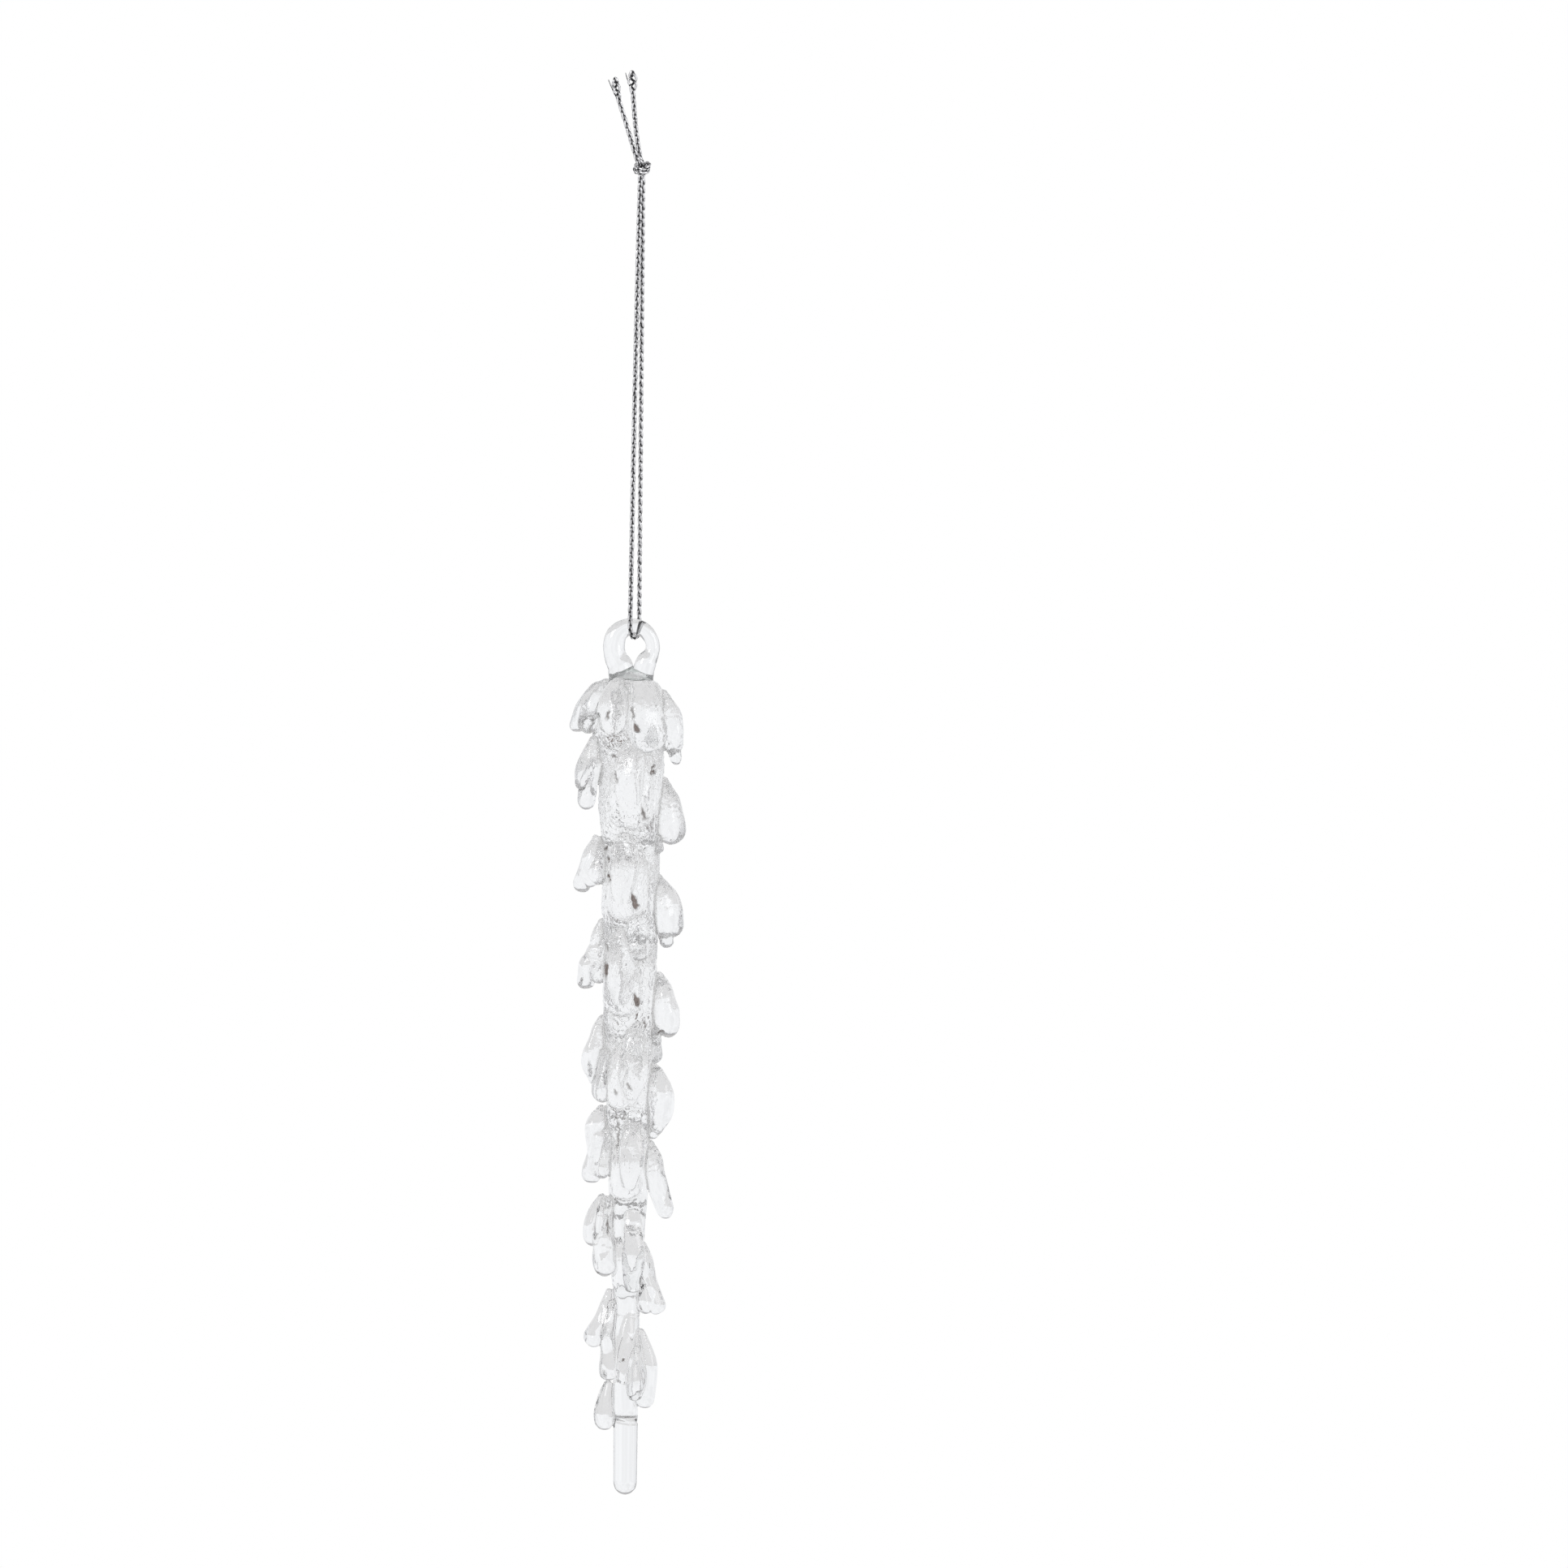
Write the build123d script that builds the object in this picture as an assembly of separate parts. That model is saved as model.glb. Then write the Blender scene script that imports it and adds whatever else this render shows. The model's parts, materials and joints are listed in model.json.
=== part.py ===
# Glass icicle ornament hung in a doubled metallic cord, in millimetres.
# Frame: origin in the middle of the knot that closes the cord loop, +Z up,
# the broad side of the glass eye facing -Y. The icicle hangs below, towards -Z.
import os
from math import atan2, degrees, hypot, pi, sin

from build123d import *

# ---- cord ----
CORD_D = 1.0            # metallic braided cord
KNOT_R = 1.95           # overhand knot, its wraps laid round a tighter middle
KNOT_CORE_R = 1.6
KNOT_GAP = 0.08         # running gap between the knot and the loop's upper ends
TOP_X, TOP_Y = 0.27, 0.50       # half spacing of the two legs across and front to back, at the knot
BEND_X, BEND_Y = 0.60, 0.60     # where the front leg is, from the middle, at its bend
BEND_Z = -18.0
LEG_X, LEG_Y = 0.93, 2.70       # half spacing of the two legs at the eye
SPLIT_Z = -101.4        # where the legs end and the U-turn through the eye begins
LEG_GAP = 0.05          # the legs twist on the U-turn here, so they stand just clear

# ---- glass: all depths are measured down from the shoulder ----
EYE_Z = -105.0          # middle of the eye's top bar, which the cord passes under
EYE_RISE = 12.1         # from the shoulder up to the middle of that bar
AXIS_X = -0.35          # the stem hangs a little to one side of the eye's top
LEAN = -0.4             # and a little out of plumb
ROD_R = 2.2             # drawn rod that the whole icicle is built up on
TIP_R = 2.7
TIP_DEPTH = 186.7
SHOULDER_Z = EYE_Z - EYE_RISE

# outline of the built-up stem: depth, radius
STEM = [(0.0, 5.0), (1.0, 6.2), (2.8, 7.1), (6.0, 7.6), (12.0, 7.6), (30.0, 7.3), (40.0, 6.75),
        (52.5, 6.5), (67.0, 6.15), (82.0, 5.7), (95.0, 5.3), (104.5, 4.95), (114.0, 4.6),
        (123.0, 4.2), (132.5, 3.7), (142.0, 3.2), (152.0, 2.9), (169.3, 2.85)]
# depths at which one gather of glass ends and the next begins
GATHER_ENDS = [0.0, 12.0, 30.0, 49.0, 64.5, 88.0, 110.0, 129.6, 145.5, 169.3]

# bent rod of the eye: across, height over the shoulder, radius
EYE_ROD = [(-2.9, 0.2, 2.95), (-3.9, 4.0, 2.7), (-4.5, 7.4, 2.5), (-3.75, 10.4, 2.3), (-1.8, 11.8, 2.05),
           (0.5, 12.1, 1.9), (2.75, 11.3, 1.8), (4.2, 9.4, 1.65), (4.55, 7.4, 1.6), (3.9, 4.5, 1.7),
           (2.45, 0.3, 1.95)]
COLLAR_TOP = 1.7        # height of the weld under the eye's two feet
COLLAR_X = 5.2
COLLAR_Y = 3.6

# drips of clear glass: name, azimuth (0 right, 90 back, 180 left, 270 front),
# depth of the root, depth of the lowest point, reach from the stem's axis, bulb radius
DRIPS = [
    ("left_1", 180, 1.5, 12.6, 14.1, 3.0),
    ("left_2", 165, 12.8, 26.4, 13.3, 2.7),
    ("left_2_low", 199, 19.0, 29.9, 12.9, 2.0),
    ("left_3", 180, 35.3, 48.9, 13.0, 2.4),
    ("left_4", 180, 54.3, 71.2, 12.0, 2.6),
    ("left_5", 176, 76.6, 92.4, 10.8, 2.6),
    ("left_5_low", 218, 85.5, 96.7, 10.2, 2.0),
    ("left_6", 180, 97.4, 115.1, 10.6, 2.3),
    ("left_7", 174, 117.6, 130.2, 10.0, 2.1),
    ("left_7_low", 216, 125.0, 136.5, 9.4, 2.2),
    ("left_8", 180, 138.9, 153.5, 9.6, 2.2),
    ("left_9", 214, 151.0, 160.2, 7.2, 1.7),
    ("left_10", 182, 160.3, 171.9, 7.3, 2.2),
    ("right_1", 0, 2.8, 17.6, 12.3, 3.1),
    ("right_2", 0, 22.3, 37.8, 12.3, 3.3),
    ("right_3", 0, 44.6, 59.2, 12.2, 3.2),
    ("right_4", 0, 66.8, 82.4, 11.7, 3.2),
    ("right_5", 0, 87.4, 103.8, 10.6, 3.0),
    ("right_6", 0, 105.5, 123.7, 10.5, 2.2),
    ("right_7", 0, 128.7, 145.5, 8.7, 2.1),
    ("right_8", 0, 148.8, 166.8, 7.3, 2.3),
    ("front_1", 244, 0.6, 13.1, 12.0, 2.7),
    ("front_1_low", 304, 2.2, 17.2, 12.0, 2.9),
    ("front_2", 270, 14.8, 30.2, 12.1, 2.8),
    ("front_3", 260, 35.0, 51.5, 11.8, 2.7),
    ("front_4", 257, 57.0, 74.2, 11.4, 2.7),
    ("front_5", 265, 78.5, 95.0, 10.7, 2.7),
    ("front_6", 273, 99.0, 116.2, 10.2, 2.4),
    ("front_7", 283, 121.0, 138.2, 9.2, 2.3),
    ("front_8", 276, 144.0, 162.6, 7.6, 1.9),
    ("back_1", 90, 1.2, 15.8, 12.4, 3.1),
    ("back_2", 84, 18.5, 34.4, 12.4, 3.2),
    ("back_3", 93, 39.5, 55.0, 12.0, 3.1),
    ("back_4", 88, 61.0, 77.4, 11.4, 2.9),
    ("back_5", 92, 82.0, 97.0, 10.6, 2.8),
    ("back_6", 86, 103.0, 119.5, 10.0, 2.6),
    ("back_7", 91, 125.0, 141.0, 9.0, 2.4),
    ("back_8", 95, 152.0, 169.0, 7.4, 2.1),
]
DRIP_SPREAD = 1.25      # drips are broader round the stem than they are thick
ROOT_TUCK = 0.5         # how far a drip's root starts inside the stem's surface


def stem_radius(depth):
    for (d0, r0), (d1, r1) in zip(STEM, STEM[1:]):
        if depth <= d1:
            return r0 + (r1 - r0) * (depth - d0) / (d1 - d0)
    return STEM[-1][1]


def save(name, shape):
    export_step(shape, f"parts/{name}.step")


os.makedirs("parts", exist_ok=True)
hung = Pos(AXIS_X, 0, SHOULDER_Z) * Rot(0, LEAN, 0)

# ---- stem: rod, gathers and tip ----
top_depth, end_depth = GATHER_ENDS[0], GATHER_ENDS[-1]
outline = Spline(*[(r, 0, -d) for d, r in STEM])
stem_edge = outline + Polyline((STEM[-1][1], 0, -end_depth), (0, 0, -end_depth), (0, 0, -top_depth),
                               (STEM[0][1], 0, -top_depth))
stem = revolve(make_face(stem_edge), Axis.Z)

rod_length = end_depth - top_depth
rod = Pos(0, 0, -end_depth) * Cylinder(ROD_R, rod_length, align=(Align.CENTER, Align.CENTER, Align.MIN))
save("centre_rod", hung * rod)

sleeve = stem - rod
for number, (start, end) in enumerate(zip(GATHER_ENDS, GATHER_ENDS[1:]), 1):
    slab = Pos(0, 0, -end) * Cylinder(20, end - start, align=(Align.CENTER, Align.CENTER, Align.MIN))
    save(f"gather_{number}", hung * (sleeve & slab))

tip_straight = TIP_DEPTH - TIP_R - end_depth
tip = Pos(0, 0, -end_depth) * Cylinder(TIP_R, tip_straight, align=(Align.CENTER, Align.CENTER, Align.MAX))
tip += Pos(0, 0, -end_depth - tip_straight) * Sphere(TIP_R)
save("tip", hung * tip)

# ---- drips: half an ellipse swelling from the root into a round bulb ----
for name, azimuth, root, low, reach, bulb in DRIPS:
    x0 = stem_radius(root) - ROOT_TUCK
    x1 = reach - bulb
    fall = low - bulb - root
    length = hypot(x1 - x0, fall)
    edge = EllipticalCenterArc((0, length), bulb, length, start_angle=270, arc_size=90)
    edge += ThreePointArc((bulb, length), (bulb * sin(pi / 4), length + bulb * sin(pi / 4)), (0, length + bulb))
    edge += Line((0, length + bulb), (0, 0))
    drop = scale(revolve(Plane.XZ * make_face(edge), Axis.Z), by=(1, DRIP_SPREAD, 1))
    tilt = degrees(atan2(x1 - x0, -fall))
    drop = Rot(0, 0, azimuth) * Pos(x0, 0, -root) * Rot(0, tilt, 0) * drop
    standing = (drop - stem).solids().sort_by(SortBy.VOLUME)[-1]
    save(f"drip_{name}", hung * standing)

# ---- eye and its weld ----
path = Spline(*[(x, 0, h) for x, h, r in EYE_ROD])
sections = []
for x, h, r in EYE_ROD:
    along = path.param_at_point(Vector(x, 0, h))
    across = Plane(origin=path @ along, x_dir=(0, 1, 0), z_dir=path % along)
    sections.append(across * Circle(r))
eye = loft(sections)
eye -= Pos(0, 0, COLLAR_TOP) * Box(30, 30, 30, align=(Align.CENTER, Align.CENTER, Align.MAX))
save("hanging_eye", hung * eye)

collar = loft([Pos(0, 0, -top_depth) * Circle(STEM[0][1]),
               Pos(-0.6, 0, COLLAR_TOP) * Ellipse(COLLAR_X, COLLAR_Y)])
save("eye_weld", hung * collar)

# ---- cord: two legs, the U-turn under the eye's top bar, knot and two tails ----
cord_r = CORD_D / 2
knot = Sphere(KNOT_CORE_R)
for lean, turn in ((68, 35), (75, -40), (12, 0)):
    knot += Rot(0, 0, turn) * Rot(lean, 0, 0) * Torus(KNOT_R - cord_r, cord_r)
clear = Sphere(KNOT_R + KNOT_GAP)

# the U-turn lies in a plane turned about Z, so that one leg is left of the other
foot = (-LEG_X, -LEG_Y)
turn_r = hypot(LEG_X, LEG_Y)
turn_z = EYE_Z - 1.9 - 0.08 - cord_r + turn_r
leg_end = SPLIT_Z + LEG_GAP
front_leg = FilletPolyline((-TOP_X, -TOP_Y, 0), (-BEND_X, -BEND_Y, BEND_Z), (*foot, leg_end), radius=60)
rear_leg = Line((TOP_X, TOP_Y, 0), (LEG_X, LEG_Y, leg_end))
u_turn = Line((*foot, SPLIT_Z), (*foot, turn_z))
u_turn += ThreePointArc((*foot, turn_z), (0, 0, turn_z - turn_r), (LEG_X, LEG_Y, turn_z))
u_turn += Line((LEG_X, LEG_Y, turn_z), (LEG_X, LEG_Y, SPLIT_Z))


def tube(line):
    start = Plane(origin=line @ 0, z_dir=line % 0)
    return sweep(start * Circle(cord_r), path=line)


save("cord_leg_front", tube(front_leg) - clear)
save("cord_leg_rear", tube(rear_leg) - clear)
save("cord_turn", tube(u_turn))
left_tail = FilletPolyline((-0.85, -0.4, 1.0), (-3.9, -0.4, 10.6), (-6.5, -0.4, 21.2), radius=20)
right_tail = FilletPolyline((-0.1, 0.4, 1.0), (-1.7, 0.4, 10.4), (-2.6, 0.4, 22.8), radius=20)
save("cord_tail_left", tube(left_tail) - knot)
save("cord_tail_right", tube(right_tail) - knot)
save("knot", knot)

cord_length = front_leg.length + rear_leg.length + u_turn.length
print("cord loop length", round(cord_length, 1), "turn radius", round(turn_r, 2), "front leg bend 60, tails 20")
for name, line in (("front", front_leg), ("rear", rear_leg), ("turn", u_turn),
                   ("tail left", left_tail), ("tail right", right_tail)):
    solid = tube(line)
    print(name, "volume", round(solid.volume, 2), "section x length", round(pi * cord_r**2 * line.length, 2))
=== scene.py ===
import json
from math import cos, hypot, pi, radians, sin

import bmesh
import bpy
import numpy as np
from mathutils import Matrix, Vector, noise


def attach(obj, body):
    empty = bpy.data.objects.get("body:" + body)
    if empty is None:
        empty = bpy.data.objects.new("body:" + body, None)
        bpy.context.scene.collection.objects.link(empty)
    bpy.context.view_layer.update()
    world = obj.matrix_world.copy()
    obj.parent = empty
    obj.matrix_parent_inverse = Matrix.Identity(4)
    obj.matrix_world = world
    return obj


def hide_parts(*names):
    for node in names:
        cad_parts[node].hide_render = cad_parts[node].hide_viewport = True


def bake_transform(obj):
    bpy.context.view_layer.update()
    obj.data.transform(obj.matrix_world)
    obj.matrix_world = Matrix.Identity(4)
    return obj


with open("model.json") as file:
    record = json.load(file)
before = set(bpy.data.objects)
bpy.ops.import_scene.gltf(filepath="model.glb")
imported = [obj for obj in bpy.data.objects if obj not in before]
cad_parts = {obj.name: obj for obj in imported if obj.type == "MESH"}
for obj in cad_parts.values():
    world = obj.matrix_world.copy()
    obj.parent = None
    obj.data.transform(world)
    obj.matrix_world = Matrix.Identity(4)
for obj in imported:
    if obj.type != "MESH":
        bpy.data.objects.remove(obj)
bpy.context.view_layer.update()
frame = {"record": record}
MM = 0.001

# ------------------------------------------------------------------ camera
ROLL = radians(0.91)            # the plumb line leans this much across the picture
CAMERA_AT = (0.0348, -0.998, -0.1404)
camera_data = bpy.data.cameras.new("camera")
camera_data.lens = 100
camera_data.sensor_width = 36
camera_data.dof.use_dof = False
camera = bpy.data.objects.new("camera", camera_data)
bpy.context.scene.collection.objects.link(camera)
camera.matrix_world = Matrix((
    (cos(ROLL), -sin(ROLL), 0, CAMERA_AT[0]),
    (0, 0, -1, CAMERA_AT[1]),
    (sin(ROLL), cos(ROLL), 0, CAMERA_AT[2]),
    (0, 0, 0, 1)))
bpy.context.scene.camera = camera


# ------------------------------------------------------------------ helpers
def add_mesh(name, verts, faces, smooth=True):
    mesh = bpy.data.meshes.new(name)
    mesh.from_pydata([tuple(v) for v in verts], [], faces)
    turned = bmesh.new()
    turned.from_mesh(mesh)
    bmesh.ops.recalc_face_normals(turned, faces=turned.faces)
    turned.to_mesh(mesh)
    turned.free()
    mesh.polygons.foreach_set("use_smooth", [smooth] * len(mesh.polygons))
    mesh.update()
    obj = bpy.data.objects.new(name, mesh)
    bpy.context.scene.collection.objects.link(obj)
    return obj


def nurbs_line(name, points, count=24):
    """The evaluated centreline through a NURBS spline's control points, as an array."""
    curve = bpy.data.curves.new(name, "CURVE")
    curve.dimensions = "3D"
    spline = curve.splines.new("NURBS")
    spline.points.add(len(points) - 1)
    for slot, p in zip(spline.points, points):
        slot.co = (*p, 1)
    spline.order_u = 3
    spline.use_endpoint_u = True
    spline.resolution_u = count
    obj = bpy.data.objects.new(name, curve)
    bpy.context.scene.collection.objects.link(obj)
    bpy.context.view_layer.update()
    mesh = bpy.data.meshes.new_from_object(obj)
    line = np.array([v.co for v in mesh.vertices])
    bpy.data.objects.remove(obj)
    bpy.data.meshes.remove(mesh)
    return line


def resample(line, step):
    gaps = np.linalg.norm(np.diff(line, axis=0), axis=1)
    keep = np.concatenate([[True], gaps > 1e-9])
    line = line[keep]
    along = np.concatenate([[0], np.cumsum(np.linalg.norm(np.diff(line, axis=0), axis=1))])
    at = np.linspace(0, along[-1], max(3, int(round(along[-1] / step)) + 1))
    return np.stack([np.interp(at, along, line[:, k]) for k in range(3)], 1), at


def frames(line, side):
    """Two unit normals at each point, carried along without twist from the first side."""
    tangent = np.gradient(line, axis=0)
    tangent /= np.linalg.norm(tangent, axis=1)[:, None]
    n = np.array(side, float)
    first = []
    for t in tangent:
        n = n - t * n.dot(t)
        n /= np.linalg.norm(n)
        first.append(n)
    first = np.array(first)
    return first, np.cross(tangent, first)


def ring_faces(rings, sides):
    """Faces of a closed skin through a row of rings of points, with a cap at each end."""
    faces = []
    for i in range(rings - 1):
        for j in range(sides):
            k = (j + 1) % sides
            faces.append((i * sides + j, i * sides + k, (i + 1) * sides + k, (i + 1) * sides + j))
    faces.append(tuple(range(sides - 1, -1, -1)))
    faces.append(tuple(range((rings - 1) * sides, rings * sides)))
    return faces


def tube(line, radius, sides, side=(1, 0, 0)):
    """Verts and faces of a closed tube. radius may change along the line."""
    a, b = frames(line, side)
    radius = np.broadcast_to(radius, len(line))
    angle = np.arange(sides) * 2 * pi / sides
    ring = a[:, None] * np.cos(angle)[None, :, None] + b[:, None] * np.sin(angle)[None, :, None]
    verts = (line[:, None] + ring * radius[:, None, None]).reshape(-1, 3)
    return verts, ring_faces(len(line), sides)


def gather(parts):
    verts, faces, base = [], [], 0
    for v, f in parts:
        verts.append(v)
        faces += [tuple(i + base for i in face) for face in f]
        base += len(v)
    return np.concatenate(verts), faces


# ------------------------------------------------------------------ cord
PLAIT = 5.8 * MM                # length of one full turn of a strand in the plait
STRAND_R = 0.245 * MM
PLAIT_A = 0.32 * MM             # how far a strand swings to each side
PLAIT_B = 0.15 * MM             # and how far it dives front to back
LOOSE_END = 5.6 * MM            # the loosened last stretch of a tail


def plait(line, start=0.0, bud=0.0):
    """Three metallic strands plaited round a centreline, each as verts, faces and a painted light level.

    That level is 1, a painted highlight, where a strand swings out and 0, painted shade, where it dives under
    the others. bud is the extra swing of a tail's loosened end, where the strands close again to a rounded
    tip.
    """
    line, at = resample(line, 0.13 * MM)
    a, b = frames(line, (1, 0, 0))
    left = at[-1] - at
    loose = np.clip(1 - left / LOOSE_END, 0, 1) * (bud > 0)
    swing = (PLAIT_A + bud * np.sin(pi * loose ** 1.4)) * (1 - 0.7 * loose ** 6)
    close = np.where(loose > 0, np.sqrt(np.clip(left / (0.4 * MM), 0.03, 1)), 1)
    parts = []
    for strand in range(3):
        t = 2 * pi * (at / PLAIT + strand / 3 + start)
        path = line + a * (swing * np.sin(t))[:, None] + b * (PLAIT_B * np.sin(2 * t))[:, None]
        swell = STRAND_R * (1 + 0.12 * np.abs(np.sin(t)) + 0.25 * loose) * close
        verts, faces = tube(path, swell, 8)
        # the painted light level: a painted highlight where the strand swings out, painted shade where it
        # dives under
        parts.append((verts, faces, np.repeat(np.abs(np.sin(t)), 8)))
    return parts


def add_braid(name, parts):
    obj = add_mesh(name, *gather([part[:2] for part in parts]))
    # stores the painted light and shade level of the strands as a vertex attribute
    painted_light_shade = obj.data.attributes.new("painted_light_shade", "FLOAT", "POINT")
    painted_light_shade.data.foreach_set("value", np.concatenate([part[2] for part in parts]).astype(np.float32))
    return obj


# the loop, in mm: down the front leg, under the eye's bar and up the rear leg
EYE_BAR_Z = -105.0              # middle of the eye's top bar
BAR_R = 1.9
BAR_GAP = 0.08                  # between the bar and the cord
foot = (-0.93, -2.70)           # where the front leg meets the U-turn, across from the axis
turn_r = hypot(*foot)
turn_z = EYE_BAR_Z - BAR_R - BAR_GAP - 0.5 + turn_r
SPLIT_Z = -101.4                # legs above, U-turn below
loop_route = [(-0.27, -0.5, 0), (-0.6, -0.6, -18), (*foot, SPLIT_Z), (*foot, turn_z - turn_r),
              (-foot[0], -foot[1], turn_z - turn_r), (-foot[0], -foot[1], SPLIT_Z), (0.27, 0.5, 0)]
loop_line = nurbs_line("loop_line", [np.array(p) * MM for p in loop_route], 64)
loop_line, loop_at = resample(loop_line, 0.5 * MM)
cord_loop = add_braid("cord_loop", plait(loop_line))

# the overhand knot is tied in both strands: one turn round the standing part, then up and out
knot_route = [(0, 0.1, -2.3), (0.1, 0.5, -0.8), (0.7, 0.8, 0.9), (1.45, 0.2, 0.75), (1.2, -0.95, -0.35),
              (0.1, -1.35, -0.95), (-1.1, -0.85, -0.45), (-1.4, 0.3, 0.35), (-0.5, 1.1, 0.8), (0.3, 0.5, 1.1),
              (-0.2, -0.3, 1.6), (-0.6, -0.2, 2.3)]
knot_parts = []
for lift, aside in ((0.42, 0.075), (-0.42, -0.075)):
    route = [np.array((1.2 * x + aside, y, 1.08 * z + lift * (0.4 + 0.6 * (1 < i < 10)))) * MM
             for i, (x, y, z) in enumerate(knot_route)]
    knot_parts += plait(nurbs_line("knot_line", route, 16), start=0.2 * lift)
knot = add_braid("knot_wraps", knot_parts)


TAILS = [
    ("cord_end_left", 0.42, [(-0.7, -0.3, 0.9), (-1.37, -0.4, 2.6), (-3.3, -0.4, 9.0), (-5.3, -0.4, 14.8),
                             (-6.15, -0.4, 18.2), (-6.5, -0.4, 20.9)],
     [(-6.0, -0.5, 16.2), (-7.0, -0.6, 17.8), (-7.95, -0.5, 20.2)]),
    ("cord_end_right", 0.64, [(0.0, 0.3, 0.9), (-0.45, 0.4, 2.4), (-1.5, 0.4, 8.5), (-2.1, 0.4, 14.8),
                              (-2.4, 0.4, 18.2), (-2.6, 0.4, 22.6)],
     [(-2.4, 0.4, 17.3), (-3.3, 0.5, 19.2), (-4.1, 0.3, 22.0)])]
tails = []
for name, bud, route, stray in TAILS:
    parts = plait(nurbs_line(name, [np.array(p) * MM for p in route], 24), start=0.1, bud=bud * MM)
    strand = nurbs_line(name, [np.array(p) * MM for p in stray], 12)
    verts, faces = tube(strand, np.linspace(0.15, 0.10, len(strand)) * MM, 6)
    # the stray strand's painted light level is a middle 0.5 all along
    tails.append(add_braid(name, parts + [(verts, faces, np.full(len(verts), 0.5))]))

# ------------------------------------------------------------------ glass shape, in mm below the shoulder
EYE_RISE = 12.1                 # from the shoulder up to the middle of the eye's bar
SHOULDER_Z = EYE_BAR_Z - EYE_RISE
HUNG = Matrix.Translation((-0.35 * MM, 0, SHOULDER_Z * MM)) @ Matrix.Rotation(radians(-0.4), 4, "Y")
# The stem's depth and radius.
STEM = [(0.0, 5.0), (1.0, 6.2), (2.8, 7.1), (6.0, 7.6), (12.0, 7.6), (30.0, 7.3), (40.0, 6.75),
        (52.5, 6.5), (67.0, 6.15), (82.0, 5.7), (95.0, 5.3), (104.5, 4.95), (114.0, 4.6),
        (123.0, 4.2), (132.5, 3.7), (142.0, 3.2), (152.0, 2.9), (169.3, 2.8), (184.0, 2.7),
        (185.3, 2.35), (186.3, 1.4), (186.7, 0.25)]
stem_depths = np.array([d for d, r in STEM])
stem_radii = np.array([r for d, r in STEM])

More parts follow.
